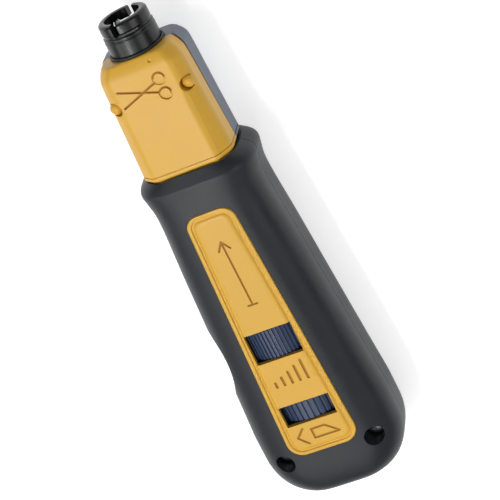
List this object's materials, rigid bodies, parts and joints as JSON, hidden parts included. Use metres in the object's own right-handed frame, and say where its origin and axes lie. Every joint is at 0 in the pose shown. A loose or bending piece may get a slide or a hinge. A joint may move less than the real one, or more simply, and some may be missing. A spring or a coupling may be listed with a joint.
{
  "type": "punch down tool",
  "caption": "Impact punch down tool with a twist-lock blade socket, a thumb ring for impact strength and a spring-returned ring that releases the blade.",
  "frame": {"origin": "centre of the bounding box's footprint, on the plane of the grip's flat back", "axes": "+Y along the tool from the butt to the blade socket, +Z out of the front face with the control plate, +X to the right seen from the front"},
  "size_m": [0.0496, 0.179, 0.0319],
  "materials": {
    "grip_charcoal": "soft-touch satin",
    "housing_yellow": "moulded satin",
    "housing_slate": "moulded satin",
    "control_navy": "moulded satin",
    "black_steel": "black oxide, semi-gloss",
    "steel": "machined",
    "spring_steel": "drawn wire"
  },
  "bodies": {
    "housing": {"grip_front_shell": "grip_charcoal", "grip_rear_shell": "grip_charcoal", "control_plate": "housing_yellow", "case_screw_left": "black_steel", "case_screw_right": "black_steel", "nose_front_shell": "housing_yellow", "nose_rear_shell": "housing_slate", "nose_pin_left": "housing_yellow", "nose_pin_right": "housing_yellow", "nose_collar": "grip_charcoal", "guide_sleeve": "steel", "sleeve_end_plug": "steel", "return_spring": "spring_steel", "release_spring": "spring_steel", "spring_seat": "steel", "impact_spring": "spring_steel"},
    "plunger": {"blade_socket": "black_steel", "plunger_rod": "steel"},
    "ball": {"lock_ball": "steel"},
    "lock": {"blade_lock": "steel"},
    "striker": {"hammer": "steel", "latch_spring": "spring_steel"},
    "latch": {"hammer_latch": "steel"},
    "adjuster": {"impact_ring": "control_navy"},
    "release": {"release_ring": "control_navy", "release_rod": "steel"}
  },
  "joints": [
    {"name": "socket_press", "type": "slide", "parent": "housing", "child": "plunger", "axis": [0, -1, 0], "range_m": [0, 0.009], "stiffness_N_per_m": 600, "deforming": ["return_spring"]},
    {"name": "hammer_recoil", "type": "slide", "parent": "housing", "child": "striker", "axis": [0, -1, 0], "range_m": [0, 0.00901], "deforming": ["impact_spring"]},
    {"name": "latch_shift", "type": "slide", "parent": "striker", "child": "latch", "axis": [1, 0, 0], "range_m": [0, 0.00121], "deforming": ["latch_spring"]},
    {"name": "impact_adjust", "type": "hinge", "parent": "housing", "child": "adjuster", "pos_m": [0, -0.02845, 0.017], "axis": [0, 1, 0], "range_deg": [-60, 60]},
    {"name": "blade_release", "type": "hinge", "parent": "housing", "child": "release", "pos_m": [0, -0.0556, 0.017], "axis": [0, -1, 0], "range_deg": [0, 25], "stiffness_Nm_per_rad": 0.02, "deforming": ["release_spring"]},
    {"name": "lock_turn", "type": "hinge", "parent": "plunger", "child": "lock", "pos_m": [0, 0.0595, 0.017], "axis": [0, -1, 0], "range_deg": [0, 25.1]},
    {"name": "ball_detent", "type": "slide", "parent": "plunger", "child": "ball", "axis": [-0.6561, 0, -0.7547], "range_m": [0, 0.0007], "stiffness_N_per_m": 300}
  ],
  "couplings": [
    {"joint": "hammer_recoil", "follows": "socket_press", "ratio": 1},
    {"joint": "latch_shift", "follows": "socket_press", "ratio": 0.13333},
    {"joint": "lock_turn", "follows": "blade_release", "ratio": 1}
  ]
}
